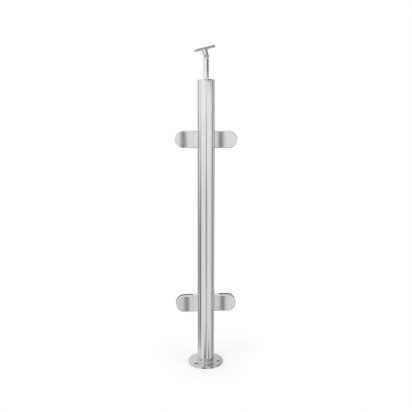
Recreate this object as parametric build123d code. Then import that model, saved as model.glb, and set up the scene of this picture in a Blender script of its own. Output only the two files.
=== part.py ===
from build123d import *
import math
import os

os.makedirs("parts", exist_ok=True)

# A balustrade post: floor plate, tube, four glass clamps, and a swivel saddle for a handrail.
# Millimetres, +Z up. The origin is the centre of the floor plate's underside.
# The fence runs along X, so the clamps reach out along +X and -X. The front is -Y.

# Fits
fit_gap = 0.05
slip_gap = 0.2
split_gap = 0.15
rim_gap = 0.3

# Tube
tube_d = 50.8
tube_wall = 1.5
tube_inset = 1.5
post_height = 850.0

# Floor plate and the weld that holds the tube in it
flange_d = 104.0
flange_t = 6.0
flange_edge_r = 1.0
anchor_hole_d = 11.0
anchor_edge = 12.0
anchor_count = 3
anchor_start = -20.5
anchor_edge_break = 0.5
weld_leg = 2.0
weld_hollow = 0.4

# Cap: a disc, a spigot that fits the tube, and a threaded boss for the stem
cap_t = 3.5
cap_edge_r = 1.0
spigot_len = 14.0
spigot_wall = 2.0
boss_d = 18.0
boss_len = 12.0

# Stem and swivel: two bars halved to round eyes that lie against each other
stem_d = 16.0
stud_d = 8.0
stud_len = 12.0
pivot_rise = 67.0
eye_gap = 0.5
eye_edge_break = 0.4
saddle_tilt = 14.0

# Saddle: a plate bent round the handrail
link_len = 17.5
rail_d = 50.8
saddle_len = 61.0
saddle_w = 25.0
saddle_t = 3.0
saddle_corner_r = 6.0
saddle_edge_break = 0.4
rail_hole_d = 5.5
rail_hole_edge = 11.0
rail_sink = 1.4

# Screws of the swivel and the saddle
tip_bevel = 0.6
small_d = 5.0
small_head_d = 9.2
small_socket = 3.0
small_socket_depth = 1.8
spot_depth = 1.6
screw_end_wall = 1.5
saddle_end_wall = 2.3
head_sink = 0.2

# Clamps: two pairs, each jaw a D with a half-round nose and a crowned face
lower_clamp_z = 188.5
upper_clamp_z = 680.0
clamp_len = 65.0
clamp_h = 50.0
crown_r = 200.0
clamp_edge_r = 2.5
tip_edge_r = 2.0
jaw_t = 7.2
glass_slot = 8.4
rim_break = 0.5
split_break = 0.5

# Rubber pads in the jaws
gasket_proud = 1.6
gasket_recess = 1.6
gasket_inset = 4.0
groove_w = 1.6
groove_depth = 0.8
groove_pitch = 5.0
groove_count = 6

# Screws that draw the jaws together
jaw_screw_d = 6.0
jaw_head_d = 11.3
jaw_socket = 4.0
jaw_socket_depth = 2.4
jaw_boss_r = 5.5
jaw_screw_edge = 11.0
jaw_screw_travel = 0.5
front_wall = 1.5

# Bolt and threaded insert that hold a clamp to the tube
bolt_d = 8.0
bolt_len = 20.0
bolt_head_d = 13.0
bolt_head_h = 8.0
bolt_socket = 6.0
bolt_socket_depth = 4.0
web_t = 4.0
nut_d = 11.0
nut_len = 15.0
nut_rim_d = 14.0
nut_rim_t = 1.2
nut_bulge_t = 3.0

# Worked out from the sizes above
tube_r = tube_d / 2
bore_r = tube_r - tube_wall
cap_base = post_height - cap_t
anchor_circle_r = flange_d / 2 - anchor_edge
stem_r = stem_d / 2
shoulder = stem_r + eye_gap
pivot_z = post_height + pivot_rise
rail_r = rail_d / 2
gap = glass_slot + 2 * gasket_proud
clamp_t = gap + 2 * jaw_t
nose_x = tube_r + clamp_len - clamp_h / 2
rim_space = nut_rim_t + rim_gap
bolt_seat_x = tube_r + rim_space + web_t
foot_x = bolt_seat_x + bolt_head_h + 2 * slip_gap
screw_x = foot_x + jaw_boss_r
screw_z = clamp_h / 2 - jaw_screw_edge
gasket_x = screw_x + jaw_boss_r + 2 * slip_gap
middle_x = tube_r + clamp_len / 2
far = 2 * clamp_len

FRONT = Plane.XZ
UP = (Align.CENTER, Align.CENTER, Align.MIN)
DOWN = (Align.CENTER, Align.CENTER, Align.MAX)


def write(node, *solids):
    """Write the solids of one node to its own file."""
    export_step(Compound(children=list(solids)), f"parts/{node}.step")


def rod(radius, low, high):
    """A round bar about the Z axis from one height to another."""
    return Pos(0, 0, low) * Cylinder(radius, high - low, align=UP)


def rod_x(radius, low, high):
    """A round bar about the X axis from one place to another."""
    return Rot(0, 90, 0) * rod(radius, low, high)


def rod_y(radius, low, high):
    """A round bar about the Y axis from one place to another."""
    return Rot(-90, 0, 0) * rod(radius, low, high)


def block(x_span, y_span, z_span):
    """A box between two values on each axis."""
    sizes = [high - low for low, high in (x_span, y_span, z_span)]
    corner = (x_span[0], y_span[0], z_span[0])
    return Pos(*corner) * Box(*sizes, align=Align.MIN)


def sunk_head(radius, head_r, length, grow=0.0):
    """A countersunk screw's body, its flat top at the origin and its tip down -Z."""
    cone_h = head_r - radius
    cone = Pos(0, 0, -cone_h) * Cone(radius + grow, head_r + grow, cone_h, align=UP)
    return cone + rod(radius + grow, -length, 0)


def sunk_screw(diameter, head_d, length, socket, socket_depth):
    """A countersunk screw with a hexagon socket and a bevelled tip."""
    screw = sunk_head(diameter / 2, head_d / 2, length)
    tip = screw.edges().sort_by(Axis.Z)[0]
    screw = chamfer(tip, tip_bevel)
    hexagon = RegularPolygon(socket / 2, 6, major_radius=False)
    return screw - Pos(0, 0, -socket_depth) * extrude(hexagon, socket_depth)


def floor_plate():
    """The round plate with its anchor holes, bored for the tube."""
    plate = rod(flange_d / 2, 0, flange_t)
    plate = fillet(plate.edges().sort_by(Axis.Z)[-1], flange_edge_r)
    plate -= rod(tube_r + fit_gap, 0, flange_t)
    hole_r = anchor_hole_d / 2
    hole = rod(hole_r, 0, flange_t)
    sink = Cone(hole_r, hole_r + anchor_edge_break, anchor_edge_break, align=DOWN)
    sink = Pos(0, 0, flange_t) * sink
    places = PolarLocations(anchor_circle_r, anchor_count, anchor_start)
    return plate - places * hole - places * sink


def weld():
    """The dressed fillet weld, a ring with a hollow face."""
    inner = tube_r + fit_gap
    toe = (inner + weld_leg, flange_t)
    top = (inner, flange_t + weld_leg)
    corner = (inner, flange_t)
    throat = weld_leg / 2 - weld_hollow / math.sqrt(2)
    middle = (inner + throat, flange_t + throat)
    line = Polyline(top, corner, toe) + ThreePointArc(toe, middle, top)
    return revolve(Plane.XZ * make_face(line), Axis.Z)


def tube():
    """The post, with a hole through the wall for each threaded insert."""
    post = rod(tube_r, tube_inset, cap_base) - rod(bore_r, tube_inset, cap_base)
    hole = rod_x(nut_d / 2 + fit_gap, -tube_d, tube_d)
    for height in (lower_clamp_z, upper_clamp_z):
        post -= Pos(0, 0, height) * hole
    return post


def cap():
    """The turned cap."""
    disc = rod(tube_r, cap_base, post_height)
    disc = fillet(disc.edges().sort_by(Axis.Z)[-1], cap_edge_r)
    spigot_r = bore_r - fit_gap
    spigot = rod(spigot_r, cap_base - spigot_len, cap_base)
    spigot = chamfer(spigot.edges().sort_by(Axis.Z)[0], spigot_wall / 2)
    spigot -= rod(spigot_r - spigot_wall, cap_base - spigot_len, cap_base)
    boss = rod(boss_d / 2, cap_base - boss_len, cap_base)
    hole = rod(stud_d / 2 + fit_gap, cap_base - boss_len, post_height)
    return disc + spigot + boss - hole


def eye():
    """The halved end of the lower bar: it lies behind the middle plane, its round end about the pivot."""
    outline = Pos(0, -shoulder / 2) * Rectangle(stem_d, shoulder) + Circle(stem_r)
    half = Pos(0, stem_r, 0) * extrude(FRONT * outline, stem_r - slip_gap / 2)
    half &= rod(stem_r, -shoulder, stem_r)
    rims = [e for e in half.edges() if e.center().Z > eye_edge_break - shoulder]
    return chamfer(rims, eye_edge_break)


def stem():
    """The lower bar, with a stud for the cap and the threaded eye, about the pivot."""
    bar = rod(stem_r, -pivot_rise, -shoulder)
    stud = rod(stud_d / 2, -pivot_rise - stud_len, -pivot_rise)
    stud = chamfer(stud.edges().sort_by(Axis.Z)[0], tip_bevel)
    hole = rod_y(small_d / 2 + fit_gap, -stem_d, stem_d)
    return bar + stud + eye() - hole


def saddle_axis_z():
    """Height of the handrail's middle line above the pivot, along the link."""
    return link_len + saddle_t + rail_r


def rail_round(radius, length):
    """A round bar lying where the handrail lies."""
    return Pos(0, 0, saddle_axis_z()) * rod_x(radius, -length / 2, length / 2)


def link():
    """The upper bar: an eye in front of the middle plane, and a hollow end that seats the plate."""
    bar = rod(stem_r, shoulder, link_len + stem_r / 2)
    bar -= rail_round(rail_r + saddle_t + fit_gap, saddle_len)
    bar += Rot(180, 0, 0) * eye()
    bar -= rod_y(small_d / 2 + slip_gap / 2, -stem_d, stem_d)
    seat = Rot(90, 0, 0) * sunk_head(small_d / 2, small_head_d / 2, stem_r, fit_gap)
    bar -= Pos(0, spot_depth - stem_r, 0) * seat
    bar -= rod_y(small_head_d / 2 + fit_gap, -stem_d, spot_depth - stem_r)
    return bar - rod(small_d / 2 + fit_gap, shoulder + screw_end_wall, saddle_axis_z())


def plate():
    """The saddle plate, bent round the handrail, with countersunk holes from below."""
    body = rail_round(rail_r + saddle_t, saddle_len)
    outline = RectangleRounded(saddle_len, saddle_w, saddle_corner_r)
    body &= Pos(0, 0, link_len) * extrude(outline, rail_r)
    body -= rail_round(rail_r, 2 * saddle_len)
    body = fillet(body.edges(), saddle_edge_break)
    hole = rod(rail_hole_d / 2, 0, saddle_axis_z())
    sink = Pos(0, 0, link_len) * Cone(rail_hole_d / 2 + rail_sink, rail_hole_d / 2, rail_sink, align=UP)
    for side in (-1, 1):
        place = Pos(side * (saddle_len / 2 - rail_hole_edge), 0, 0)
        body -= place * hole
        body -= place * sink
    body -= Pos(0, 0, saddle_head_z()) * sunk_head(small_d / 2, small_head_d / 2, link_len, fit_gap)
    return body - rod(small_head_d / 2 + fit_gap, saddle_head_z(), saddle_axis_z())


def saddle_head_z():
    """Height of the saddle screw's flat head above the pivot."""
    return link_len + saddle_t - head_sink


def pivot_screw():
    """The screw that the link turns on, held in the lower eye."""
    length = stem_d - spot_depth - screw_end_wall
    screw = sunk_screw(small_d, small_head_d, length, small_socket, small_socket_depth)
    return Pos(0, spot_depth - stem_r, 0) * Rot(90, 0, 0) * screw


def saddle_screw():
    """The screw that holds the plate on its link."""
    length = saddle_head_z() - shoulder - saddle_end_wall
    screw = sunk_screw(small_d, small_head_d, length, small_socket, small_socket_depth)
    return Pos(0, 0, saddle_head_z()) * screw


def d_outline(inset):
    """The clamp's outline seen from the front, drawn in by an inset."""
    height = clamp_h - 2 * inset
    return Pos(nose_x / 2, 0) * Rectangle(nose_x, height) + Pos(nose_x, 0) * Circle(height / 2)


def face_y(x):
    """How far the crowned face stands from the middle plane at a distance from the tube's axis."""
    return clamp_t / 2 - crown_r + math.sqrt(crown_r**2 - (x - middle_x) ** 2)


def screw_face_y():
    """The crowned face's lowest place over a jaw screw's head."""
    return min(face_y(screw_x - jaw_head_d / 2), face_y(screw_x + jaw_head_d / 2))


def crown(side):
    """The large round that crowns the clamp's front face for -1 and its back face for 1."""
    return Pos(middle_x, side * (clamp_t / 2 - crown_r), 0) * rod(crown_r, -clamp_h, clamp_h)


def clamp_body():
    """The whole clamp before it is split, crowned, rounded and hollowed to seat on the tube."""
    body = extrude(FRONT * d_outline(0), clamp_t / 2, both=True)
    body = (body & crown(-1) & crown(1)).solid()
    faces = body.faces().filter_by(GeomType.CYLINDER).filter_by(lambda f: f.radius > clamp_h)
    rims = [e for f in faces for e in f.edges() if e.center().X > fit_gap]
    body = fillet(rims, clamp_edge_r)
    body = (body - rod(tube_r + fit_gap, -clamp_h, clamp_h)).solid()
    tips = body.edges().filter_by(Axis.Z).filter_by(lambda e: e.center().X < tube_r)
    return fillet(tips, tip_edge_r)


def pocket(side, grow=0.0):
    """The space of one rubber pad, in the front jaw for -1 and in the back jaw for 1."""
    near = glass_slot / 2
    depth = gasket_proud + gasket_recess
    pad = extrude(FRONT * d_outline(gasket_inset - grow), depth)
    pad = Pos(0, near + depth, 0) * pad
    pad -= block((-far, gasket_x - grow), (-far, far), (-far, far))
    return pad if side > 0 else mirror(pad, about=Plane.XZ)


def gasket(side):
    """A rubber pad with grooves across its gripping face."""
    pad = pocket(side)
    start = nose_x - (groove_count - 1) * groove_pitch / 2
    face = side * glass_slot / 2
    for index in range(groove_count):
        middle = start + index * groove_pitch
        span = (middle - groove_w / 2, middle + groove_w / 2)
        pad -= block(span, (face - groove_depth, face + groove_depth), (-far, far))
    return pad


def jaw_bosses(radius, low, high):
    """Round bars along Y at both jaw screws."""
    bar = rod_y(radius, low, high)
    return [Pos(screw_x, 0, side * screw_z) * bar for side in (-1, 1)]


def front_jaw():
    """The cover jaw: a plate with a pad pocket and two threaded bosses."""
    inner = -gap / 2
    jaw = clamp_body() & block((foot_x + split_gap, far), (-far, inner), (-far, far))
    jaw = jaw.solid()
    rim = jaw.faces().sort_by(Axis.Y)[-1].edges()
    jaw = chamfer(rim, rim_break)
    joint = jaw.faces().sort_by(Axis.X)[0].edges()
    jaw = chamfer(joint.filter_by(lambda e: e.center().Y < inner - 2 * rim_break), split_break)
    for boss in jaw_bosses(jaw_boss_r, inner - jaw_t / 2, -glass_slot / 2):
        jaw += boss
    jaw -= pocket(-1, fit_gap)
    for hole in jaw_bosses(jaw_screw_d / 2 + fit_gap, front_wall - screw_face_y(), 0):
        jaw -= hole
    return jaw


def back_jaw():
    """The carrying jaw: the foot on the tube, the back plate and the bosses round the screws."""
    inner = gap / 2
    body = clamp_body()
    jaw = body - block((foot_x, far), (-far, inner), (-far, far))
    end = jaw_screw_travel - glass_slot / 2
    for boss in jaw_bosses(jaw_boss_r, end, inner + jaw_t / 2):
        jaw += boss
    for side in (-1, 1):
        middle = side * screw_z
        span = (middle - jaw_boss_r, middle + jaw_boss_r)
        jaw += block((foot_x - slip_gap, screw_x), (end, inner + slip_gap), span)
    jaw -= pocket(1, fit_gap)
    head = Rot(-90, 0, 0) * sunk_head(jaw_screw_d / 2, jaw_head_d / 2, far, fit_gap)
    for side in (-1, 1):
        jaw -= Pos(screw_x, screw_face_y() - head_sink, side * screw_z) * head
    for well in jaw_bosses(jaw_head_d / 2 + fit_gap, screw_face_y() - head_sink, clamp_t):
        jaw -= well
    return jaw - bolt_space()


def bolt_space():
    """What the bolt and the insert's rim take out of the foot."""
    shank = rod_x(bolt_d / 2 + slip_gap, 0, foot_x)
    head = rod_x(bolt_head_d / 2 + 2 * slip_gap, bolt_seat_x, foot_x)
    rim = rod_x(nut_rim_d / 2 + 2 * slip_gap, 0, tube_r + rim_space)
    return shank + head + rim


def bolt():
    """The socket head bolt, its head in the foot and its tip inside the tube."""
    head = rod_x(bolt_head_d / 2, bolt_seat_x, bolt_seat_x + bolt_head_h)
    head = chamfer(head.edges().sort_by(Axis.X)[-1], tip_bevel)
    shank = rod_x(bolt_d / 2, bolt_seat_x - bolt_len, bolt_seat_x)
    shank = chamfer(shank.edges().sort_by(Axis.X)[0], tip_bevel)
    hexagon = RegularPolygon(bolt_socket / 2, 6, major_radius=False)
    socket = extrude(Plane.YZ * hexagon, bolt_socket_depth)
    top = bolt_seat_x + bolt_head_h - bolt_socket_depth
    return head + shank - Pos(top, 0, 0) * socket


def insert():
    """The threaded insert: a rim outside the wall, a bulge drawn up against it inside."""
    wall_x = math.sqrt(bore_r**2 - (nut_rim_d / 2) ** 2) - fit_gap
    rim = rod_x(nut_rim_d / 2, tube_r, tube_r + nut_rim_t)
    shank = rod_x(nut_d / 2, tube_r - nut_len, tube_r)
    bulge = rod_x(nut_rim_d / 2, wall_x - nut_bulge_t, wall_x)
    bulge = fillet(bulge.edges().filter_by(GeomType.CIRCLE), nut_bulge_t / 3)
    hole = rod_x(bolt_d / 2 + fit_gap, 0, tube_d)
    return rim + shank + bulge - hole


def jaw_screw(side):
    """One of the two screws that draw the jaws together."""
    length = 2 * screw_face_y() - head_sink - front_wall - jaw_screw_travel
    screw = sunk_screw(jaw_screw_d, jaw_head_d, length, jaw_socket, jaw_socket_depth)
    place = Pos(screw_x, screw_face_y() - head_sink, side * screw_z)
    return place * Rot(-90, 0, 0) * screw


def placed(shape, right, height):
    """A clamp's piece on its side of the tube, at its height."""
    side = shape if right else mirror(shape, about=Plane.YZ)
    return Pos(0, 0, height) * side


def write_clamps():
    """Write the four clamps, their pads and their fasteners."""
    kinds = {
        "back_jaw": back_jaw(),
        "front_jaw": front_jaw(),
        "back_gasket": gasket(1),
        "front_gasket": gasket(-1),
    }
    loose = {
        "jaw_screws": [jaw_screw(-1), jaw_screw(1)],
        "mounting_bolts": [bolt()],
        "rivet_nuts": [insert()],
    }
    places = [
        (f"{level}_{hand}", hand == "right", height)
        for level, height in (("lower", lower_clamp_z), ("upper", upper_clamp_z))
        for hand in ("left", "right")
    ]
    for name, right, height in places:
        for kind, shape in kinds.items():
            write(f"{name}_{kind}", placed(shape, right, height))
    for node, shapes in loose.items():
        write(node, *[placed(s, right, height) for _, right, height in places for s in shapes])


def write_top():
    """Write the swivel and the saddle at the tilt that the post is shown with."""
    pivot = Pos(0, 0, pivot_z)
    tilted = pivot * Rot(0, -saddle_tilt, 0)
    write("handrail_stem", pivot * stem())
    write("pivot_screw", pivot * pivot_screw())
    write("saddle_link", tilted * link())
    write("saddle_plate", tilted * plate())
    write("saddle_screw", tilted * saddle_screw())


write("base_flange", floor_plate())
write("base_weld", weld())
write("post_tube", tube())
write("top_cap", cap())
write_top()
write_clamps()
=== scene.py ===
"""Finishes, fasteners, pads, weld and studio for a stainless steel balustrade post.

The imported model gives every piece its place, in metres, with +Z up and the post's axis on Z. The fence runs
along X, and the front of the post looks along -Y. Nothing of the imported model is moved. The pieces made here
are drawn in millimetres and become metres when their mesh is made.
"""

import logging
import math
from collections.abc import Callable, Iterable
from dataclasses import dataclass, field
from enum import Enum

import bpy
from mathutils import Matrix, Vector

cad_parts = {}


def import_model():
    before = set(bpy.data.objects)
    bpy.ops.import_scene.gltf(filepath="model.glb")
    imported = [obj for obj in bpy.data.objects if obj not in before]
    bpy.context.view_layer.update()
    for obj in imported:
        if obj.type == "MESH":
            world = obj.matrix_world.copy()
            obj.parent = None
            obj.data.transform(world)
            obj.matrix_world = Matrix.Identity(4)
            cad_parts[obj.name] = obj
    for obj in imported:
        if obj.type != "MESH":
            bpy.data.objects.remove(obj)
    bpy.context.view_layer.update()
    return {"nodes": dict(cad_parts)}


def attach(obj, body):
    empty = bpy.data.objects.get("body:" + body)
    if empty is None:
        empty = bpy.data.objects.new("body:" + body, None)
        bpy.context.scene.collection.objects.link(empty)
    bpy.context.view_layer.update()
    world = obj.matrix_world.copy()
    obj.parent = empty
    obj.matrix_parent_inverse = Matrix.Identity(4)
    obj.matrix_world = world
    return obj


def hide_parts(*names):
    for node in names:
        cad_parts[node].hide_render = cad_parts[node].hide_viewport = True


log = logging.getLogger("balustrade")

MM = 0.001
# The angle between faces from which an edge is sharp
SHARP_DEG = 32.0
# The depth of a screw's thread as a share of its pitch
THREAD_SHARE = 0.6
# How steeply a thread's flanks fall, in depths for each pitch
FLANK_SLOPE = 2.4
# The radius of the point that a drill leaves at the bottom of a socket, in millimetres
DRILL_POINT = 0.1

Socket = bpy.types.NodeSocket
Value = Socket | float | tuple
Node = bpy.types.Node
Tree = bpy.types.NodeTree
Material = bpy.types.Material
Piece = bpy.types.Object
Colour = tuple[float, float, float, float]
Ring = list[Vector]


@dataclass
class Wiring:
    """Places nodes in the tree of a material, a world or a group, and joins them as a formula reads."""

    tree: Tree

    def node(self, kind: str, *values: Value, **settings: object) -> Node:
        """Place one node and fill its inputs in order.

        Args:
            kind: The node's type, without its ShaderNode prefix.
            *values: What goes into its first inputs.
            **settings: Properties of the node, such as its operation.

        Returns:
            The new node.
        """
        made = self.tree.nodes.new("ShaderNode" + kind)
        for name, value in settings.items():
            setattr(made, name, value)
        for target, value in zip(made.inputs, values):
            self.feed(target, value)
        return made

    def named(self, kind: str, values: dict[str | int, Value], **settings: object) -> Node:
        """Place one node and fill its inputs by name, or by number where a name isn't enough.

        Args:
            kind: The node's type, without its ShaderNode prefix.
            values: What goes into its inputs.
            **settings: Properties of the node.

        Returns:
            The new node.
        """
        made = self.node(kind, **settings)
        for name, value in values.items():
            self.feed(made.inputs[name], value)
        return made

    def feed(self, target: Socket, source: Value) -> None:
        """Join a socket to an input, or write a plain value on it.

        Args:
            target: The input.
            source: An output, a number or a tuple.
        """
        if isinstance(source, bpy.types.NodeSocket):
            self.tree.links.new(source, target)
        else:
            target.default_value = source

    def math(self, operation: str, *values: Value) -> Socket:
        """Work out one number from others."""
        return self.node("Math", *values, operation=operation).outputs[0]

    def vector(self, operation: str, *values: Value) -> Socket:
        """Work out one vector from others."""
        return self.node("VectorMath", *values, operation=operation).outputs["Vector"]

    def measure(self, operation: str, *values: Value) -> Socket:
        """Work out one number from vectors, such as their dot product."""
        return self.node("VectorMath", *values, operation=operation).outputs["Value"]

    def length(self, first: Socket, second: Socket) -> Socket:
        """Give the long side of a right-angled triangle from its two short sides."""
        square = self.math("MULTIPLY", first, first)
        return self.math("SQRT", self.math("MULTIPLY_ADD", second, second, square))

    def split(self, value: Socket) -> list[Socket]:
        """Take a vector apart into its X, Y and Z."""
        return list(self.node("SeparateXYZ", value).outputs)

    def fade(self, value: Socket, start: Value, end: Value, low: float, high: float) -> Socket:
        """Ease from a low to a high level while a value runs from the start to the end."""
        made = self.node("MapRange", value, start, end, low, high, interpolation_type="SMOOTHSTEP")
        return made.outputs["Result"]

    def blend(self, share: Value, first: Value, second: Value) -> Socket:
        """Mix two colours, by the share of the second one that shows."""
        made = self.named("Mix", {"Factor": share, 6: first, 7: second}, data_type="RGBA")
        return made.outputs[2]

    def place(self) -> Socket:
        """Give the place on the piece, in the piece's own axes."""
        return self.node("TexCoord").outputs["Object"]

    def facing(self) -> Socket:
        """Give the way that the surface faces."""
        return self.node("NewGeometry").outputs["Normal"]

    def group(self, shared: Tree, **values: Value) -> Node:
        """Place a shared group with its own values."""
        return self.named("Group", values, node_tree=shared)

    def coat(self, grain: Node, relief: dict[str, float], look: dict[str, Value]) -> None:
        """End a material's tree with a surface that has a grain.

        Args:
            grain: The group that gives the grain's height.
            relief: The strength of its bump and the distance that a height of 1 stands for.
            look: The other inputs of the surface.
        """
        bump = self.named("Bump", relief | {"Height": grain.outputs["Height"]})
        surface = self.named("BsdfPrincipled", look | {"Normal": bump.outputs["Normal"]})
        self.node("OutputMaterial", surface.outputs["BSDF"])


def cleared(owner: Material | bpy.types.World) -> Wiring:
    """Take the nodes out of a material or a world.

    Args:
        owner: The material or the world.

    Returns:
        The wiring of its empty tree.
    """
    owner.use_nodes = True
    owner.node_tree.nodes.clear()
    return Wiring(owner.node_tree)


class Effect(Enum):
    """The shared effects that the finishes are mixed from."""

    GROUND = "ground_grain"
    TURNED = "turned_grain"
    HANDLING = "handling_marks"
    EDGE_WEAR_AND_HIGHLIGHT = "edge_wear_and_highlight"
    DUST = "settled_dust"
    HOLE_SHADE = "hole_wall_shade"


def new_group(
    effect: Effect, outputs: Iterable[str], **inputs: float | tuple
) -> tuple[Wiring, dict[str, Socket], dict[str, Socket]]:
    """Start a shared node group.

    Args:
        effect: The effect that the group makes.
        outputs: The names of its outputs, all plain numbers.
        **inputs: The usual value of each input, a number or a vector.

    Returns:
        The wiring of the group, its inputs and its outputs.
    """
    tree = bpy.data.node_groups.new(effect.value, "ShaderNodeTree")
    for title, value in inputs.items():
        kind = "NodeSocketVector" if isinstance(value, tuple) else "NodeSocketFloat"
        tree.interface.new_socket(title, in_out="INPUT", socket_type=kind).default_value = value
    for title in outputs:
        tree.interface.new_socket(title, in_out="OUTPUT", socket_type="NodeSocketFloat")
    start = tree.nodes.new("NodeGroupInput")
    end = tree.nodes.new("NodeGroupOutput")
    given = {socket.name: socket for socket in start.outputs if socket.name}
    out = {socket.name: socket for socket in end.inputs if socket.name}
    return Wiring(tree), given, out


class EffectShelf:
    """Builds each shared node group once and hands it out."""

    def __init__(self) -> None:
        """Start with nothing built."""
        self._makers: dict[Effect, Callable[[], Tree]] = {
            Effect.GROUND: self._ground,
            Effect.TURNED: self._turned,
            Effect.HANDLING: self._handling,
            Effect.EDGE_WEAR_AND_HIGHLIGHT: self._edge_wear_and_highlight,
            Effect.DUST: self._dust,
            Effect.HOLE_SHADE: self._hole_shade,
        }
        self._built: dict[Effect, Tree] = {}

    def take(self, effect: Effect) -> Tree:
        """Give one effect's group.

        Args:
            effect: Which effect.

        Returns:
            Its node tree.
        """
        if effect not in self._built:
            self._built[effect] = self._makers[effect]()
        return self._built[effect]

    @staticmethod
    def _noise(wires: Wiring, where: Socket, scale: Value, detail: float) -> Socket:
        """Give noise from 0 to 1 at a scale, with so many octaves."""
        return wires.named("TexNoise", {"Vector": where, "Scale": scale, "Detail": detail}).outputs["Fac"]

    def _grain(self, wires: Wiring, out: dict[str, Socket], lines: Socket, broad_scale: float) -> None:
        """Draw grain as fine and broad noise along stretched coordinates.

        Args:
            wires: The wiring of the group.
            out: The group's outputs, Height and Tone.
            lines: The stretched coordinates.
            broad_scale: The scale of the broad noise.
        """
        fine = self._noise(wires, lines, 1.0, 3.0)
        broad = self._noise(wires, lines, broad_scale, 2.0)
        wires.feed(out["Height"], fine)
        wires.feed(out["Tone"], wires.math("MULTIPLY_ADD", fine, 0.5, wires.math("MULTIPLY", broad, 0.5)))

    def _ground(self) -> Tree:
        """Belt-ground grain: fine lines that are long in one direction.

        Returns:
            The group.
        """
        wires, given, out = new_group(Effect.GROUND, ("Height", "Tone"), Stretch=(1, 1, 1), Seed=0.0)
        lines = wires.vector("ADD", wires.vector("MULTIPLY", wires.place(), given["Stretch"]), given["Seed"])
        self._grain(wires, out, lines, 0.22)
        return wires.tree

    def _turned(self) -> Tree:
        """Lathe grain: fine rings about the piece's own Z axis.

        Returns:
            The group.
        """
        wires, given, out = new_group(Effect.TURNED, ("Height", "Tone"), Rings=2500.0, Seed=0.0)
        x, y, z = wires.split(wires.place())
        angle = wires.math("ABSOLUTE", wires.math("ARCTAN2", y, x))
        drift_round = 1.2
        across = wires.math("MULTIPLY_ADD", wires.length(x, y), given["Rings"], given["Seed"])
        along = wires.math("MULTIPLY", z, given["Rings"])
        lines = wires.node("CombineXYZ", across, wires.math("MULTIPLY", angle, drift_round), along)
        self._grain(wires, out, lines.outputs[0], 0.18)
        return wires.tree

    def _handling(self) -> Tree:
        """Faint cloudy marks that hands and cloths leave on polished metal.

        Returns:
            The group.
        """
        wires, given, out = new_group(Effect.HANDLING, ("Mark",), Scale=18.0)
        cloud_share = 0.65
        place = wires.place()
        cloud = self._noise(wires, place, given["Scale"], 4.0)
        streak = self._noise(wires, place, wires.math("MULTIPLY", given["Scale"], 4.0), 2.0)
        clouds = wires.math("MULTIPLY", cloud, cloud_share)
        both = wires.math("MULTIPLY_ADD", streak, 1.0 - cloud_share, clouds)
        wires.feed(out["Mark"], wires.fade(both, 0.38, 0.66, 0.0, 1.0))
        return wires.tree

    def _edge_wear_and_highlight(self) -> Tree:
        """Where an edge is near, so that it can be brighter, as a painted highlight, and smoother from
        rubbing.

        Returns:
            The group.
        """
        wires, given, out = new_group(Effect.EDGE_WEAR_AND_HIGHLIGHT, ("Mask",), Radius=0.0008, Breakup=260.0)
        rounded = wires.node("Bevel", given["Radius"], samples=4).outputs["Normal"]
        aligned = wires.measure("DOT_PRODUCT", rounded, wires.facing())
        near = wires.fade(wires.math("SUBTRACT", 1.0, aligned), 0.01, 0.16, 0.0, 1.0)
        uneven = wires.fade(self._noise(wires, wires.place(), given["Breakup"], 2.0), 0.3, 0.6, 0.55, 1.0)
        wires.feed(out["Mask"], wires.math("MULTIPLY", near, uneven))
        return wires.tree

    def _dust(self) -> Tree:
        """A thin film of dust on what faces up.

        Returns:
            The group.
        """
        wires, given, out = new_group(Effect.DUST, ("Mask",), Scale=420.0)
        _, _, rise = wires.split(wires.facing())
        up = wires.fade(rise, 0.35, 0.95, 0.0, 1.0)
        specks = wires.fade(self._noise(wires, wires.place(), given["Scale"], 3.0), 0.42, 0.72, 0.15, 1.0)
        wires.feed(out["Mask"], wires.math("MULTIPLY", up, specks))
        return wires.tree

    def _hole_shade(self) -> Tree:
        """A mask of the walls of holes that lie on one circle about the piece's own Z axis, where the finish
        paints shade.

        Returns:
            The group.
        """
        wires, given, out = new_group(Effect.HOLE_SHADE, ("Mask",), Circle=0.04, Bore=0.0055)
        x, y, _ = wires.split(wires.place())
        off = wires.math("ABSOLUTE", wires.math("SUBTRACT", wires.length(x, y), given["Circle"]))
        near = wires.fade(off, given["Bore"], wires.math("MULTIPLY", given["Bore"], 1.1), 1.0, 0.0)
        _, _, rise = wires.split(wires.facing())
        upright = wires.fade(wires.math("ABSOLUTE", rise), 0.3, 0.8, 1.0, 0.0)
        wires.feed(out["Mask"], wires.math("MULTIPLY", near, upright))
        return wires.tree


class Grain(Enum):
    """How a metal surface was worked, as the stretch of its grain along X, Y and Z, or nothing for rings."""

    ROUND_THE_TUBE = (28.0, 28.0, 2600.0)
    ALONG_THE_FENCE = (60.0, 1900.0, 1900.0)
    CAST_AND_BLASTED = (1500.0, 1500.0, 1500.0)
    TURNED = (0.0, 0.0, 0.0)


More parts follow.
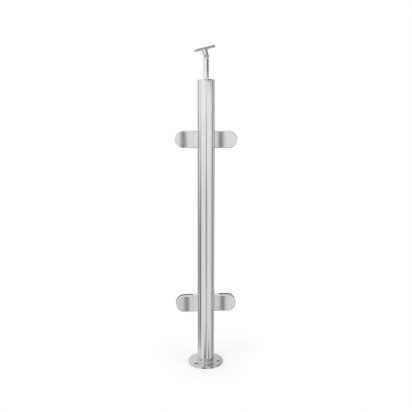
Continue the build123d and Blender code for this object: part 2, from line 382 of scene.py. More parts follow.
@dataclass(frozen=True)
class SteelFinish:
    """A stainless steel surface, with painted shade and more roughness in the walls of holes on a circle, if
    it has any.
    """

    name: str
    slot: str
    grain: Grain
    tone: float
    roughness: float
    grain_depth: float = 0.00002
    grain_strength: float = 0.35
    tone_spread: float = 0.06
    blue_low: float = 0.995
    blue_high: float = 0.99
    turned_seed: float = 3.0
    ground_seed: float = 7.0
    roughness_spread: float = 0.05
    rings: float = 2500.0
    mark_scale: float = 22.0
    mark_roughness: float = 0.03
    edge_radius: float = 0.0006
    edge_breakup: float = 240.0
    # How much lighter the painted highlight along the edges is
    edge_highlight_lift: float = 0.10
    edge_roughness: float = -0.05
    dust_scale: float = 420.0
    dust_share: float = 0.05
    dust_roughness: float = 0.04
    dust_colour: Colour = (0.55, 0.54, 0.52, 1)
    hole_circle: float = 0.0
    hole_bore: float = 0.0
    # The colour of the painted shade in the walls of the holes
    hole_shade_tone: float = 0.36
    hole_roughness: float = 0.3

    def material(self, shelf: EffectShelf) -> Material:
        """Build the finish as a material.

        Args:
            shelf: Where the shared effects come from.

        Returns:
            The material.
        """
        made = bpy.data.materials.new(self.name)
        wires = cleared(made)
        if self.grain is Grain.TURNED:
            grain = wires.group(shelf.take(Effect.TURNED), Rings=self.rings, Seed=self.turned_seed)
        else:
            ground = shelf.take(Effect.GROUND)
            grain = wires.group(ground, Stretch=self.grain.value, Seed=self.ground_seed)
        wear_and_highlight = shelf.take(Effect.EDGE_WEAR_AND_HIGHLIGHT)
        mark = wires.group(shelf.take(Effect.HANDLING), Scale=self.mark_scale).outputs["Mark"]
        edge = wires.group(wear_and_highlight, Radius=self.edge_radius, Breakup=self.edge_breakup).outputs["Mask"]
        dust = wires.group(shelf.take(Effect.DUST), Scale=self.dust_scale).outputs["Mask"]
        low = self.tone * (1.0 - self.tone_spread)
        high = min(1.0, self.tone * (1.0 + self.tone_spread))
        # Painted highlight: the edges are lighter in colour, and they are also smoother from rubbing
        edge_highlight = min(1.0, self.tone * (1.0 + self.edge_highlight_lift))
        dark, light = (low, low, low * self.blue_low, 1), (high, high, high * self.blue_high, 1)
        colour = wires.blend(grain.outputs["Tone"], dark, light)
        colour = wires.blend(edge, colour, (edge_highlight, edge_highlight, edge_highlight, 1))
        colour = wires.blend(wires.math("MULTIPLY", dust, self.dust_share), colour, self.dust_colour)
        rough = wires.math("MULTIPLY_ADD", grain.outputs["Tone"], self.roughness_spread, self.roughness)
        rough = wires.math("MULTIPLY_ADD", mark, self.mark_roughness, rough)
        rough = wires.math("MULTIPLY_ADD", dust, self.dust_roughness, rough)
        rough = wires.math("MULTIPLY_ADD", edge, self.edge_roughness, rough)
        # Painted shade: the walls of the holes are darkened in colour, and they are also made rougher
        if self.hole_circle > 0.0:
            hole_shade_group = shelf.take(Effect.HOLE_SHADE)
            wall = wires.group(hole_shade_group, Circle=self.hole_circle, Bore=self.hole_bore).outputs["Mask"]
            colour = wires.blend(wall, colour, (self.hole_shade_tone, self.hole_shade_tone, self.hole_shade_tone, 1))
            rough = wires.math("MULTIPLY_ADD", wall, self.hole_roughness, rough)
        relief = {"Strength": self.grain_strength, "Distance": self.grain_depth}
        wires.coat(grain, relief, {"Base Color": colour, "Metallic": 1.0, "Roughness": rough})
        return made


@dataclass(frozen=True)
class RubberFinish:
    """A moulded grey rubber."""

    name: str
    slot: str
    dark: Colour = (0.33, 0.33, 0.3432, 1)
    light: Colour = (0.528, 0.528, 0.5445, 1)
    # The colour of the painted highlight along the edges, which also stands for rubbing
    rubbed_highlight: Colour = (0.594, 0.594, 0.6105, 1)
    roughness: float = 0.62
    roughness_spread: float = 0.12
    grain_stretch: tuple[float, float, float] = (2200.0, 2200.0, 2200.0)
    grain_seed: float = 11.0
    grain_strength: float = 0.5
    grain_depth: float = 0.00008
    edge_radius: float = 0.0005
    edge_breakup: float = 300.0
    edge_highlight_share: float = 0.5
    dust_scale: float = 500.0
    dust_share: float = 0.12
    dust_colour: Colour = (0.30, 0.29, 0.27, 1)

    def material(self, shelf: EffectShelf) -> Material:
        """Build the finish as a material.

        Args:
            shelf: Where the shared effects come from.

        Returns:
            The material.
        """
        made = bpy.data.materials.new(self.name)
        wires = cleared(made)
        wear_and_highlight = shelf.take(Effect.EDGE_WEAR_AND_HIGHLIGHT)
        grain = wires.group(shelf.take(Effect.GROUND), Stretch=self.grain_stretch, Seed=self.grain_seed)
        edge = wires.group(wear_and_highlight, Radius=self.edge_radius, Breakup=self.edge_breakup).outputs["Mask"]
        dust = wires.group(shelf.take(Effect.DUST), Scale=self.dust_scale).outputs["Mask"]
        colour = wires.blend(grain.outputs["Tone"], self.dark, self.light)
        # Painted highlight: the edges are lighter in colour, which also stands for rubbing
        colour = wires.blend(wires.math("MULTIPLY", edge, self.edge_highlight_share), colour, self.rubbed_highlight)
        colour = wires.blend(wires.math("MULTIPLY", dust, self.dust_share), colour, self.dust_colour)
        rough = wires.math("MULTIPLY_ADD", grain.outputs["Tone"], self.roughness_spread, self.roughness)
        relief = {"Strength": self.grain_strength, "Distance": self.grain_depth}
        wires.coat(grain, relief, {"Base Color": colour, "Roughness": rough})
        return made


@dataclass(frozen=True)
class Flag:
    """A soft dark flag that shows only in the steel, in degrees from -Y towards +X and up from level."""

    name: str
    centre: float
    half_width: float
    softness: float
    depth: float
    lean: float = 0.0
    top_share: float = 1.0
    top_span: tuple[float, float] = (-9.0, 3.0)
    foot_share: float = 1.0
    foot_span: tuple[float, float] = (-24.8, -23.2)
    above: float | None = None
    below: float | None = None
    rim: float = 0.12

    def passed(self, wires: Wiring, azimuth: Socket, elevation: Socket) -> Socket:
        """Work out the share of light that the flag lets through.

        Args:
            wires: The wiring of the world.
            azimuth: The direction round the post, in degrees.
            elevation: The direction above the horizon, in degrees.

        Returns:
            The share, 1 where the flag isn't in the way.
        """
        middle = wires.math("MULTIPLY_ADD", elevation, self.lean, self.centre)
        turned = wires.math("WRAP", wires.math("SUBTRACT", azimuth, middle), 180.0, -180.0)
        off = wires.math("ABSOLUTE", turned)
        inner, outer = self.half_width - self.softness, self.half_width + self.softness
        held = wires.fade(off, inner, outer, self.depth, 0.0)
        cuts = []
        if self.top_share < 1.0:
            cuts.append((*self.top_span, 1.0, self.top_share))
        if self.foot_share < 1.0:
            cuts.append((*self.foot_span, self.foot_share, 1.0))
        if self.above is not None:
            cuts.append((self.above - self.rim, self.above + self.rim, 0.0, 1.0))
        if self.below is not None:
            cuts.append((self.below - self.rim, self.below + self.rim, 1.0, 0.0))
        for cut in cuts:
            held = wires.math("MULTIPLY", held, wires.fade(elevation, *cut))
        return wires.math("SUBTRACT", 1.0, held)


@dataclass(frozen=True)
class Lamp:
    """A soft square lamp that looks at the middle of the post, in metres and watts."""

    name: str
    place: tuple[float, float, float]
    size: float
    power: float
    aim: tuple[float, float, float] = (0.0, 0.0, 0.4)

    def build(self) -> None:
        """Hang the lamp so that it doesn't show in the steel."""
        light = bpy.data.lights.new(self.name, "AREA")
        light.size = self.size
        light.energy = self.power
        lamp = bpy.data.objects.new(self.name, light)
        lamp.location = self.place
        lamp.rotation_euler = (Vector(self.aim) - Vector(self.place)).to_track_quat("-Z", "Y").to_euler()
        lamp.visible_glossy = False
        bpy.context.scene.collection.objects.link(lamp)


@dataclass
class Studio:
    """A plain white studio: pale floor, soft lamps and the dark flags that draw the steel."""

    ambient: float = 0.95
    low_level: float = 0.86
    level_span: tuple[float, float] = (-8.0, 4.0)
    floor_tone: float = 0.985
    floor_half: float = 6.0
    # The colour and reach of the painted shade under the plate, seen through the anchor bores
    bore_shade_tone: float = 0.03
    bore_shade_reach: float = 0.048
    bore_shade_fade: float = 0.001
    shadow_reach: float = 0.16
    shadow_fade: float = 0.14
    flags: tuple[Flag, ...] = (
        Flag("camera_side", -2.85, 3.9, 2.4, 0.70, lean=-0.27, top_share=0.2, top_span=(0.0, 6.0),
             foot_share=0.1, foot_span=(-25.3, -24.9)),
        Flag("upper_band", -2.4, 7.2, 3.0, 0.24, above=-2.8, below=1.8, rim=0.8),
        Flag("tube_side", -1.0, 13.0, 7.0, 0.34, above=-17.5, below=-5.0, rim=1.5),
        Flag("tube_side_low", -2.0, 14.0, 7.0, 0.30, above=-24.0, below=-21.5, rim=0.5),
        Flag("left_edge", -129.0, 15.0, 8.0, 0.58, top_share=0.4, top_span=(9.0, 16.0), foot_share=0.0),
        Flag("left_between", -106.0, 12.0, 9.0, 0.45, top_share=0.0, top_span=(-13.0, -4.0), foot_share=0.0),
        Flag("left_core", -84.0, 12.0, 7.0, 0.80, top_share=0.15, top_span=(-14.0, 6.0), foot_share=0.0),
        Flag("right_core", 94.5, 16.0, 9.0, 0.54, top_share=0.45, top_span=(9.0, 16.0)),
        Flag("right_wide", 87.5, 26.0, 9.0, 0.18),
        Flag("right_edge", 143.0, 26.0, 10.0, 0.40),
        Flag("stem_side", 52.0, 40.0, 12.0, 0.76, above=5.95, below=16.0, rim=0.1),
        Flag("cap_side", 48.0, 43.0, 12.0, 0.95, above=18.2, below=23.2, rim=0.8),
        Flag("saddle_side", 4.0, 18.0, 9.0, 0.72, above=8.65, below=12.5),
        Flag("foot_left", -17.0, 12.5, 6.0, 0.93, below=-24.0, rim=0.3),
        Flag("foot_right", 35.0, 11.0, 5.0, 0.90, below=-24.0, rim=0.3),
        Flag("foot_wide", 52.0, 10.0, 6.0, 0.26, below=-24.2, rim=0.4),
        Flag("plate_left", -16.0, 9.0, 4.0, 0.75, above=16.0, below=40.0, rim=2.0),
        Flag("plate_right", 66.0, 50.0, 4.0, 0.42, above=20.0, below=40.0, rim=2.0),
        Flag("plate_back", 164.0, 10.0, 5.0, 0.50, above=22.0, below=40.0, rim=2.0),
        Flag("back_low", 175.0, 25.0, 8.0, 0.40, above=-20.0, below=-1.0, rim=1.0),
    )

    lamps: tuple[Lamp, ...] = (
        Lamp("key_lamp", (-1.1, -1.0, 1.7), 1.4, 5.0),
        Lamp("fill_lamp", (1.5, -0.7, 1.2), 1.6, 3.0),
    )

    def build(self) -> None:
        """Build the world, the floor and the lamps."""
        self._world()
        self._floor()
        for lamp in self.lamps:
            lamp.build()
            log.info("studio: %s", lamp.name)
        log.info("studio: flags %s", ", ".join(flag.name for flag in self.flags))

    def _world(self) -> None:
        """Light from all around, white to the camera, with the flags for the steel alone."""
        world = bpy.data.worlds.new("white_studio")
        bpy.context.scene.world = world
        wires = cleared(world)
        x, y, z = wires.split(wires.node("TexCoord").outputs["Generated"])
        azimuth = wires.math("DEGREES", wires.math("ARCTAN2", x, wires.math("MULTIPLY", y, -1.0)))
        elevation = wires.math("DEGREES", wires.math("ARCSINE", z))
        light = wires.fade(elevation, *self.level_span, self.low_level, 1.0)
        for flag in self.flags:
            light = wires.math("MULTIPLY", flag.passed(wires, azimuth, elevation), light)
        path = wires.node("LightPath").outputs
        clear = wires.math("MAXIMUM", path["Is Camera Ray"], path["Is Transmission Ray"])
        plain = wires.math("MULTIPLY_ADD", clear, 1.0 - self.ambient, self.ambient)
        plain = wires.math("MULTIPLY", plain, wires.math("SUBTRACT", 1.0, path["Is Glossy Ray"]))
        strength = wires.math("MULTIPLY_ADD", path["Is Glossy Ray"], light, plain)
        sky = wires.named("Background", {"Color": (1, 1, 1, 1), "Strength": strength})
        wires.node("OutputWorld", sky.outputs[0])

    def _floor(self) -> None:
        """A pale floor, with painted shade under the plate that darkens the anchor bores, the post's shadow
        near it and white further out.
        """
        mesh = bpy.data.meshes.new("floor")
        half = self.floor_half
        corners = [(-half, -half, 0), (half, -half, 0), (half, half, 0), (-half, half, 0)]
        mesh.from_pydata(corners, [], [(0, 1, 2, 3)])
        floor = bpy.data.objects.new("floor", mesh)
        bpy.context.scene.collection.objects.link(floor)
        floor.visible_glossy = False
        pale = bpy.data.materials.new("pale_floor")
        wires = cleared(pale)
        radius = wires.measure("LENGTH", wires.place())
        near = self.shadow_reach
        white = wires.fade(radius, near, near + self.shadow_fade, 0.0, 1.0)
        # Painted shade: the floor under the plate is dark, so that the anchor bores look shaded
        bore_shade = wires.fade(radius, self.bore_shade_reach - self.bore_shade_fade, self.bore_shade_reach, 0.0, 1.0)
        dark, light = (self.bore_shade_tone,) * 3 + (1,), (self.floor_tone,) * 3 + (1,)
        ground = wires.named("BsdfDiffuse", {"Color": wires.blend(bore_shade, dark, light)}).outputs[0]
        share = wires.math("MULTIPLY", white, wires.node("LightPath").outputs["Is Camera Ray"])
        mix = wires.node("MixShader", share, ground, wires.node("Emission").outputs[0])
        wires.node("OutputMaterial", mix.outputs[0])
        mesh.materials.append(pale)


@dataclass(frozen=True)
class PhotoCamera:
    """The camera, placed as the photograph was taken."""

    azimuth_deg: float = -5.0
    distance: float = 1.482
    height: float = 0.703
    pitch_deg: float = 7.25
    roll_deg: float = -0.086
    frame_px: float = 412.0
    focal_px: float = 505.34
    sensor_mm: float = 36.0
    shift_up: float = -0.025

    def build(self) -> None:
        """Create the camera and make it the scene's."""
        data = bpy.data.cameras.new("photo_camera")
        data.sensor_width = self.sensor_mm
        data.lens = self.focal_px / self.frame_px * self.sensor_mm
        data.shift_y = self.shift_up
        camera = bpy.data.objects.new("photo_camera", data)
        azimuth, pitch, roll = (math.radians(a) for a in (self.azimuth_deg, self.pitch_deg, self.roll_deg))
        outward = Vector((math.sin(azimuth), -math.cos(azimuth), 0))
        forward = -outward * math.cos(pitch) - Vector((0, 0, math.sin(pitch)))
        right = Vector((math.cos(azimuth), math.sin(azimuth), 0))
        up = right.cross(forward)
        side = right * math.cos(roll) - up * math.sin(roll)
        top = up * math.cos(roll) + right * math.sin(roll)
        turn = Matrix((side, top, -forward)).transposed().to_4x4()
        camera.matrix_world = Matrix.Translation(outward * self.distance + Vector((0, 0, self.height))) @ turn
        bpy.context.scene.collection.objects.link(camera)
        bpy.context.scene.camera = camera
        log.info("camera: %.0f mm lens, %.2f m away", data.lens, self.distance)


def dress(nodes: dict[str, Piece], names: Iterable[str], material: Material) -> None:
    """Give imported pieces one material.

    Args:
        nodes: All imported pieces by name.
        names: The pieces to dress.
        material: Their material.
    """
    for name in names:
        slots = nodes[name].data.materials
        slots.clear()
        slots.append(material)
        log.info("dressed %s with %s", name, material.name)


def polar(angle: float, radius: float, height: float) -> Vector:
    """Give a point from its angle about Z, its radius and its height."""
    return Vector((radius * math.cos(angle), radius * math.sin(angle), height))


@dataclass
class RingStack:
    """A skin over a stack of rings of points, in millimetres, listed so that its outside faces out.

    Where it is closed, the last ring joins the first instead of both being capped.
    """

    steps: int = 48
    closed: bool = False
    rings: list[Ring] = field(default_factory=list)

    def angles(self) -> list[float]:
        """Give the angle of each point of a ring, in radians."""
        return [math.tau * index / self.steps for index in range(self.steps)]

    def shaped(self, radius_at: Callable[[float], float], height: float) -> None:
        """Add a ring about Z with the radius that a function gives for each angle."""
        self.rings.append([polar(angle, radius_at(angle), height) for angle in self.angles()])

    def outline(self, *corners: tuple[float, float]) -> None:
        """Add a round ring about Z for each corner of an outline, from its radius and height."""
        for radius, height in corners:
            self.rings.append([polar(angle, radius, height) for angle in self.angles()])

    def hexagon(self, across: float, height: float) -> None:
        """Add a ring in the shape of a hexagon about Z, from the size across its flats."""
        sixth = math.tau / 6
        self.shaped(lambda angle: across / 2 / math.cos((angle + sixth / 2) % sixth - sixth / 2), height)

    def knurl(self, radius: float, depth: float, ridges: int, height: float) -> None:
        """Add a ring with ridges that reach a radius and valleys that are cut to a depth."""
        self.shaped(lambda angle: radius - depth * (0.5 - 0.5 * math.cos(ridges * angle)), height)

    def thread(
        self, radius: float, depth: float, pitch: float, start: float, end: float, rows: int = 6
    ) -> None:
        """Add the rings of a thread that runs out at both ends.

        Args:
            radius: The radius over the crests, or of the roots where the depth is negative.
            depth: How deep the thread is cut.
            pitch: The rise of one turn.
            start: The height of the first ring.
            end: The height of the last ring.
            rows: The number of rings for each turn.
        """
        count = math.ceil(abs(end - start) / pitch * rows)
        for index in range(count + 1):
            share = index / count
            height = start + (end - start) * share
            cut = depth * min(1.0, min(share, 1.0 - share) * count / rows)

            def radius_at(angle: float, height: float = height, cut: float = cut) -> float:
                """Give the radius of the thread for an angle."""
                turn = (height / pitch - angle / math.tau) % 1.0
                return radius - cut * max(0.0, 1.0 - FLANK_SLOPE * abs(turn - 0.5))

            self.shaped(radius_at, height)

    def faces(self) -> list[tuple[int, ...]]:
        """Build the faces of the skin, ring after ring.

        Returns:
            The faces, as indices into its points.
        """
        count = self.steps
        pairs = [(index, index + 1) for index in range(len(self.rings) - 1)]
        if self.closed:
            pairs.append((len(self.rings) - 1, 0))
        skin: list[tuple[int, ...]] = []
        for pair in pairs:
            low, high = (ring * count for ring in pair)
            for index in range(count):
                after = (index + 1) % count
                skin.append((low + index, low + after, high + after, high + index))
        if not self.closed:
            last = (len(self.rings) - 1) * count
            skin.append(tuple(reversed(range(count))))
            skin.append(tuple(range(last, last + count)))
        return skin


@dataclass(frozen=True)
class SunkScrew:
    """A countersunk screw with a hexagon socket, its flat top at the origin and its tip down -Z."""

    diameter: float
    head: float
    length: float
    socket: float
    socket_depth: float
    pitch: float
    bevel: float = 0.6
    land: float = 0.25
    plain: float = 1.0

    def skin(self) -> RingStack:
        """Build the screw's skin from its tip to the bottom of its socket.

        Returns:
            The skin.
        """
        radius, head_r = self.diameter / 2, self.head / 2
        cone_h = head_r - radius
        tip, cut = self.bevel - self.length, THREAD_SHARE * self.pitch
        made = RingStack()
        made.outline((radius - self.bevel, -self.length), (radius, tip))
        made.thread(radius, cut, self.pitch, tip, -cone_h - self.plain)
        made.outline((radius, -cone_h), (head_r, -self.land), (head_r, -self.land / 2))
        made.outline((head_r - self.land / 2, 0.0))
        made.hexagon(self.socket + self.land, 0.0)
        made.hexagon(self.socket, -self.land)
        made.hexagon(self.socket, -self.socket_depth)
        made.outline((DRILL_POINT, -self.socket_depth - self.land))
        return made


@dataclass(frozen=True)
class SocketBolt:
    """A socket head bolt that seats at the origin with its head up +Z, in millimetres."""

    diameter: float = 8.0
    length: float = 20.0
    head: float = 13.0
    head_h: float = 8.0
    socket: float = 6.0
    socket_depth: float = 4.0
    pitch: float = 1.25
    bevel: float = 0.6
    ridges: int = 24
    ridge_points: int = 3
    ridge_depth: float = 0.3

    def skin(self) -> RingStack:
        """Build the bolt's skin from its tip to the bottom of its socket.

        Returns:
            The skin.
        """
        radius, head_r = self.diameter / 2, self.head / 2
        tip, cut = self.bevel - self.length, THREAD_SHARE * self.pitch
        made = RingStack(steps=self.ridges * self.ridge_points)
        made.outline((radius - self.bevel, -self.length), (radius, tip))
        made.thread(radius, cut, self.pitch, tip, -self.pitch)
        made.outline((radius, 0.0), (head_r - self.bevel / 2, 0.0))
        made.knurl(head_r, 0.0, self.ridges, self.bevel / 2)
        made.knurl(head_r, self.ridge_depth, self.ridges, self.bevel)
        made.knurl(head_r, self.ridge_depth, self.ridges, self.head_h - 2 * self.bevel)
        made.knurl(head_r, 0.0, self.ridges, self.head_h - 1.5 * self.bevel)
        made.outline((head_r, self.head_h - self.bevel), (head_r - self.bevel, self.head_h))
        made.hexagon(self.socket + self.bevel, self.head_h)
        made.hexagon(self.socket, self.head_h - self.bevel / 2)
        made.hexagon(self.socket, self.head_h - self.socket_depth)
        made.outline((DRILL_POINT, self.head_h - self.socket_depth - self.bevel))
        return made


@dataclass(frozen=True)
class ThreadedInsert:
    """An insert set in the tube's wall: the wall's outside is at the origin and the rim is up +Z."""

    body: float = 11.0
    length: float = 15.0
    rim: float = 14.0
    rim_t: float = 1.2
    wall: float = 2.6
    bulge: float = 3.0
    bore: float = 8.1
    pitch: float = 1.25
    edge: float = 0.35
    thread_depth: float = 0.3
    thread_rows: int = 5

    def skin(self) -> RingStack:
        """Build the insert's skin, up the outside and down through the bore.

        Returns:
            The skin.
        """
        radius, rim_r, bore_r = self.body / 2, self.rim / 2, self.bore / 2
        foot, under = -self.length, -self.wall - self.bulge
        lip = self.rim_t - self.edge
        made = RingStack(closed=True)
        made.outline((radius - self.edge, foot), (radius, self.edge - self.length), (radius, under))
        made.outline((rim_r - self.edge, 0.2 * self.edge - self.wall - self.bulge))
        made.outline((rim_r, 3 * self.edge - self.wall - self.bulge), (rim_r, -self.wall - 2 * self.edge))
        made.outline((rim_r - self.edge, -self.wall), (radius, -self.wall), (radius, 0.0), (rim_r, 0.0))
        made.outline((rim_r, lip), (rim_r - self.edge, self.rim_t))
        made.outline((bore_r + self.edge, self.rim_t), (bore_r, lip))
        end = self.edge - self.length
        made.thread(bore_r, -self.thread_depth, self.pitch, lip, end, self.thread_rows)
        made.outline((bore_r + self.edge, foot))
        return made


@dataclass(frozen=True)
class TurnedCap:
    """The cap's disc with its tapered side, the spigot in the tube and the threaded boss."""

    radius: float = 25.4
    base: float = 846.5
    top: float = 850.0
    taper_deg: float = 8.0
    edge: float = 0.8
    edge_steps: int = 5
    spigot_r: float = 23.85
    spigot_wall: float = 2.0
    spigot_len: float = 14.0
    boss_r: float = 9.0
    boss_len: float = 12.0
    bore_r: float = 4.05
    bevel: float = 0.4
    pitch: float = 1.25
    thread_depth: float = 0.25
    steps_round: int = 144

    def skin(self) -> RingStack:
        """Build the cap's skin from the boss over the spigot and the disc and down through the bore.

        Returns:
            The skin.
        """
        made = RingStack(steps=self.steps_round, closed=True)
        inner_r, chamfer = self.spigot_r - self.spigot_wall, self.spigot_wall / 2
        boss, foot = self.base - self.boss_len, self.base - self.spigot_len
        made.outline((self.bore_r + self.bevel, boss), (self.boss_r - self.bevel, boss))
        made.outline((self.boss_r, boss + self.bevel), (self.boss_r, self.base), (inner_r, self.base))
        made.outline((inner_r, foot), (self.spigot_r - chamfer, foot), (self.spigot_r, foot + chamfer))
        made.outline((self.spigot_r, self.base), (self.radius, self.base))
        slope = math.tan(math.radians(self.taper_deg))
        shoulder = self.top - self.edge
        shoulder_r = self.radius - slope * (shoulder - self.base)
        for step in range(self.edge_steps + 1):
            angle = math.tau / 4 * step / self.edge_steps
            inset = self.edge * (1 - math.cos(angle))
            made.outline((shoulder_r - inset, shoulder + self.edge * math.sin(angle)))
        made.outline((self.bore_r + self.bevel, self.top), (self.bore_r, self.top - self.bevel))
        start, end = self.top - 2 * self.bevel, boss + self.bevel
        made.thread(self.bore_r, -self.thread_depth, self.pitch, start, end)
        return made


@dataclass(frozen=True)
class GlassPad:
    """A grooved rubber pad on the right of the post and behind the glass, about the clamp's middle."""

    start: float = 50.7
    nose: float = 65.4
    half_height: float = 21.0
    face: float = 4.2
    back: float = 7.4
    corner: float = 0.4
    grooves: int = 6
    groove_pitch: float = 5.0
    groove_w: float = 1.6
    groove_depth: float = 0.8
    draft: float = 0.15
    entry_shares: tuple[float, ...] = (0.0, 0.12, 0.4, 1.0)
    nose_sections: int = 14
    nose_sweep_deg: float = 88.0
    corner_points: int = 5
    tip_share: float = 0.9

    def skin(self) -> RingStack:
        """Build the pad's skin from the tube's side to its round nose.

        Returns:
            The skin.
        """
        made = RingStack(steps=4 * self.corner_points)
        for place in self._places():
            made.rings.append(self._section(place))
        return made

    def _grooves(self) -> list[float]:
        """Give the middle of each groove."""
        first = self.nose - (self.grooves - 1) * self.groove_pitch / 2
        return [first + index * self.groove_pitch for index in range(self.grooves)]

    def _places(self) -> list[float]:
        """Choose where the pad is cut into sections.

        Returns:
            The places along X, in order.
        """
        places = [self.start + self.corner * share for share in self.entry_shares]
        half = self.groove_w / 2
        for middle in self._grooves():
            places += [middle + side * (half + slope * self.draft) for side in (-1, 1) for slope in (-1, 1)]
        sweep = math.radians(self.nose_sweep_deg)
        for index in range(self.nose_sections):
            turn = sweep * index / (self.nose_sections - 1)
            places.append(self.nose + self.half_height * math.sin(turn))
        return sorted(places)

    def _section(self, place: float) -> Ring:
        """Cut the pad across.

        Args:
            place: Where along X.

        Returns:
            The section's points, anticlockwise about X.
        """
        past = max(0.0, place - self.nose)
        half = math.sqrt(self.half_height**2 - past**2)
        edge = min(1.0, (place - self.start) / self.corner)
        inset = self.corner * (1.0 - math.sqrt(1.0 - (1.0 - edge) ** 2))
        nearest = min(abs(place - middle) for middle in self._grooves())
        slope = (self.groove_w / 2 + self.draft - nearest) / (2 * self.draft)
        face = self.face + self.groove_depth * min(1.0, max(0.0, slope)) + inset
        back, top = self.back - inset, half - inset
        round_r = min(self.corner, top * self.tip_share)
        ring: Ring = []
        corners = ((back, top, 0), (face, top, 1), (face, -top, 2), (back, -top, 3))
        for y, z, quarter in corners:
            middle_y = y - round_r if y == back else y + round_r
            middle_z = z - math.copysign(round_r, z)
            for step in range(self.corner_points):
                angle = math.tau / 4 * (quarter + step / (self.corner_points - 1))
                across, up = round_r * math.cos(angle), round_r * math.sin(angle)
                ring.append(Vector((place, middle_y + across, middle_z + up)))
        return ring


@dataclass(frozen=True)
class WeldBead:
    """A rippled fillet weld round the tube's foot, in millimetres."""

    inner: float = 25.45
    leg: float = 2.0
    hollow: float = 0.4
    base: float = 6.0
    ripples: int = 104
    ripple_height: float = 0.07
    steps_round: int = 624
    face_points: int = 8
    swell: float = 0.2
    swells: int = 5

    def skin(self) -> RingStack:
        """Build the bead's skin as sections one after another round the tube.

        Returns:
            The skin.
        """
        made = RingStack(steps=self.face_points + 1, closed=True)
        for index in range(self.steps_round):
            turn = index / self.steps_round
            lift = self.ripple_height * abs(math.sin(math.pi * self.ripples * turn))
            lift *= 1.0 - self.swell + self.swell * math.sin(self.swells * math.tau * turn)
            made.rings.append(self._section(math.tau * turn, lift))
        return made

    def _section(self, angle: float, lift: float) -> Ring:
        """Cut the bead across at an angle.

        Args:
            angle: The angle round the tube.
            lift: How far the ripple stands proud of the hollow face.

        Returns:
            The section's points, from the top over the face to the toe and back to the corner.
        """
        ring: Ring = []
        for step in range(self.face_points):
            share = step / (self.face_points - 1)
            bow = 4 * share * (1.0 - share)
            sink = (self.hollow - lift) * bow / math.sqrt(2)
            out = self.leg * share - sink
            rise = self.leg * (1.0 - share) - sink
            ring.append(polar(angle, self.inner + max(out, 0.0), self.base + max(rise, 0.0)))
        ring.append(polar(angle, self.inner, self.base))
        return ring


@dataclass
class Assembly:
    """Gathers skins, each at its place, into one piece of the model."""

    name: str
    points: list[Vector] = field(default_factory=list)
    faces: list[tuple[int, ...]] = field(default_factory=list)

    def add(self, skin: RingStack, place: Matrix) -> None:
        """Add a skin.

        Args:
            skin: The skin.
            place: Where it goes.
        """
        first = len(self.points)
        for ring in skin.rings:
            self.points += [place @ point for point in ring]
        self.faces += [tuple(first + index for index in face) for face in skin.faces()]

    def piece(self, material: Material, body: str, stands_for: str) -> None:
        """Make the piece, in metres, and let it stand for a packed one.

        Args:
            material: Its material.
            body: The body it rides on.
            stands_for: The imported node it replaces.
        """
        mesh = bpy.data.meshes.new(self.name)
        mesh.from_pydata([point * MM for point in self.points], [], self.faces)
        mesh.polygons.foreach_set("use_smooth", [True] * len(mesh.polygons))
        mesh.set_sharp_from_angle(angle=math.radians(SHARP_DEG))
        mesh.materials.append(material)
        made = bpy.data.objects.new(self.name, mesh)
        bpy.context.scene.collection.objects.link(made)
        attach(made, body)
        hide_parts(stands_for)
        log.info("%s: %d points, %d faces, for %s", self.name, len(self.points), len(self.faces), stands_for)


def turned_to(direction: Vector, place: Vector) -> Matrix:
    """Give the matrix that takes +Z to a direction and the origin to a place."""
    return Matrix.Translation(place) @ direction.to_track_quat("Z", "Y").to_matrix().to_4x4()


@dataclass
class FloorPlate:
    """The round floor plate and the dressed weld round the tube's foot."""

    weld: WeldBead = WeldBead()
    plate: SteelFinish = SteelFinish(
        "plate_steel", "satin_steel", Grain.TURNED, 0.66, 0.13, hole_circle=0.040, hole_bore=0.0055
    )
    bead: SteelFinish = SteelFinish("bead_steel", "weld_steel", Grain.CAST_AND_BLASTED, 0.64, 0.24)

    def build(self, nodes: dict[str, Piece], shelf: EffectShelf) -> None:
        """Dress the plate and lay the weld bead.

        Args:
            nodes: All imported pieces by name.
            shelf: Where the shared effects come from.
        """
        dress(nodes, ["base_flange"], self.plate.material(shelf))
        bead = Assembly("weld_bead")
        bead.add(self.weld.skin(), Matrix.Identity(4))
        bead.piece(self.bead.material(shelf), "post", "base_weld")


@dataclass
class Post:
    """The tube and its turned cap."""

    turned: TurnedCap = TurnedCap()
    tube: SteelFinish = SteelFinish("tube_steel", "satin_steel", Grain.ROUND_THE_TUBE, 0.80, 0.09)
    cap: SteelFinish = SteelFinish("cap_steel", "satin_steel", Grain.TURNED, 0.78, 0.07)

    def build(self, nodes: dict[str, Piece], shelf: EffectShelf) -> None:
        """Dress the tube and set the cap on it.

        Args:
            nodes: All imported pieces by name.
            shelf: Where the shared effects come from.
        """
        dress(nodes, ["post_tube"], self.tube.material(shelf))
        cap = Assembly("turned_cap")
        cap.add(self.turned.skin(), Matrix.Identity(4))
        cap.piece(self.cap.material(shelf), "post", "top_cap")


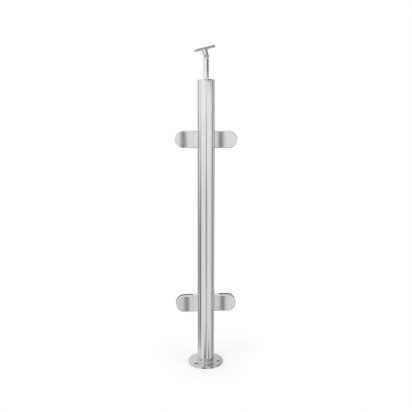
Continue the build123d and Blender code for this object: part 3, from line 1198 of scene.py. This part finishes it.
@dataclass
class Swivel:
    """The stem, the link, the saddle plate and their two screws, sizes in millimetres."""

    pivot_z: float = 917.0
    tilt_deg: float = 14.0
    pivot_screw_front: float = 6.4
    saddle_screw_rise: float = 20.3
    pivot_screw: SunkScrew = SunkScrew(5.0, 9.2, 12.9, 3.0, 1.8, 0.8)
    saddle_screw: SunkScrew = SunkScrew(5.0, 9.2, 9.5, 3.0, 1.8, 0.8)
    bar: SteelFinish = SteelFinish(
        "bar_steel", "satin_steel", Grain.ROUND_THE_TUBE, 0.84, 0.03, roughness_spread=0.02
    )
    plate: SteelFinish = SteelFinish("saddle_steel", "satin_steel", Grain.ALONG_THE_FENCE, 0.64, 0.12)
    screw: SteelFinish = SteelFinish("screw_steel", "screw_steel", Grain.CAST_AND_BLASTED, 0.55, 0.26)

    def build(self, nodes: dict[str, Piece], shelf: EffectShelf) -> None:
        """Dress the swivel and set its two screws.

        Args:
            nodes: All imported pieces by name.
            shelf: Where the shared effects come from.
        """
        dress(nodes, ["handrail_stem", "saddle_link"], self.bar.material(shelf))
        dress(nodes, ["saddle_plate"], self.plate.material(shelf))
        steel = self.screw.material(shelf)
        pivot = Vector((0, 0, self.pivot_z))
        front = Vector((0, -1, 0))
        turning = Assembly("pivot_socket_screw")
        turning.add(self.pivot_screw.skin(), turned_to(front, pivot + front * self.pivot_screw_front))
        turning.piece(steel, "post", "pivot_screw")
        tilt = math.radians(self.tilt_deg)
        up = Vector((-math.sin(tilt), 0, math.cos(tilt)))
        holding = Assembly("saddle_socket_screw")
        holding.add(self.saddle_screw.skin(), turned_to(up, pivot + up * self.saddle_screw_rise))
        holding.piece(steel, "saddle", "saddle_screw")


@dataclass
class GlassClamps:
    """The four clamps with their pads and fasteners, sizes in millimetres."""

    heights: tuple[tuple[str, float], ...] = (("upper", 680.0), ("lower", 188.5))
    sides: tuple[tuple[str, int], ...] = (("left", -1), ("right", 1))
    faces: tuple[tuple[str, int], ...] = (("front", -1), ("back", 1))
    jaw_screw_x: float = 44.8
    jaw_screw_y: float = 11.919
    jaw_screw_z: float = 14.0
    bolt_seat_x: float = 30.9
    wall_x: float = 25.4
    pad: GlassPad = GlassPad()
    jaw_screw: SunkScrew = SunkScrew(6.0, 11.3, 22.038, 4.0, 2.4, 1.0)
    bolt: SocketBolt = SocketBolt()
    insert: ThreadedInsert = ThreadedInsert()
    jaw: SteelFinish = SteelFinish("jaw_steel", "cast_steel", Grain.ALONG_THE_FENCE, 0.76, 0.10)
    rubber: RubberFinish = RubberFinish("pad_rubber", "pad_rubber")
    screw: SteelFinish = SteelFinish("fastener_steel", "screw_steel", Grain.CAST_AND_BLASTED, 0.52, 0.28)

    def build(self, nodes: dict[str, Piece], shelf: EffectShelf) -> None:
        """Dress the jaws and set the pads and fasteners of all four clamps.

        Args:
            nodes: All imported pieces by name.
            shelf: Where the shared effects come from.
        """
        steel = self.jaw.material(shelf)
        rubber = self.rubber.material(shelf)
        for level, height in self.heights:
            for side, way in self.sides:
                place = f"{level}_{side}"
                dress(nodes, [f"{place}_back_jaw", f"{place}_front_jaw"], steel)
                for face, depth in self.faces:
                    self._pad(f"{place}_{face}", way, depth, height, rubber)
        self._fasteners(self.screw.material(shelf))

    def _pad(self, name: str, way: int, depth: int, height: float, rubber: Material) -> None:
        """Set one grooved pad in its jaw.

        Args:
            name: The clamp's name and the jaw's face.
            way: -1 on the left of the post and 1 on the right.
            depth: -1 in the front jaw and 1 in the back jaw.
            height: The clamp's middle.
            rubber: The pad's material.
        """
        turn = Matrix.Diagonal((way, depth, way * depth, 1))
        made = Assembly(f"{name}_pad")
        made.add(self.pad.skin(), Matrix.Translation((0, 0, height)) @ turn)
        made.piece(rubber, "post", f"{name}_gasket")

    def _fasteners(self, steel: Material) -> None:
        """Set the jaw screws, the mounting bolts and the threaded inserts.

        Args:
            steel: Their material.
        """
        screws = Assembly("socket_jaw_screws")
        bolts = Assembly("socket_bolts")
        inserts = Assembly("threaded_inserts")
        back = Vector((0, 1, 0))
        for _, height in self.heights:
            for _, way in self.sides:
                out = Vector((way, 0, 0))
                middle = Vector((0, 0, height))
                bolts.add(self.bolt.skin(), turned_to(out, middle + out * self.bolt_seat_x))
                inserts.add(self.insert.skin(), turned_to(out, middle + out * self.wall_x))
                for step in (-1, 1):
                    rise = height + step * self.jaw_screw_z
                    place = Vector((way * self.jaw_screw_x, self.jaw_screw_y, rise))
                    screws.add(self.jaw_screw.skin(), turned_to(back, place))
        screws.piece(steel, "post", "jaw_screws")
        bolts.piece(steel, "post", "mounting_bolts")
        inserts.piece(steel, "post", "rivet_nuts")


def main() -> None:
    """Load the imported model, dress it, and build the studio round it."""
    logging.basicConfig(level=logging.INFO, format="%(name)s: %(message)s")
    bpy.context.scene.view_settings.view_transform = "Standard"
    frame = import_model()
    nodes = frame["nodes"]
    shelf = EffectShelf()
    for part in (FloorPlate(), Post(), Swivel(), GlassClamps()):
        part.build(nodes, shelf)
    Studio().build()
    PhotoCamera().build()


if __name__ == "__main__":
    main()
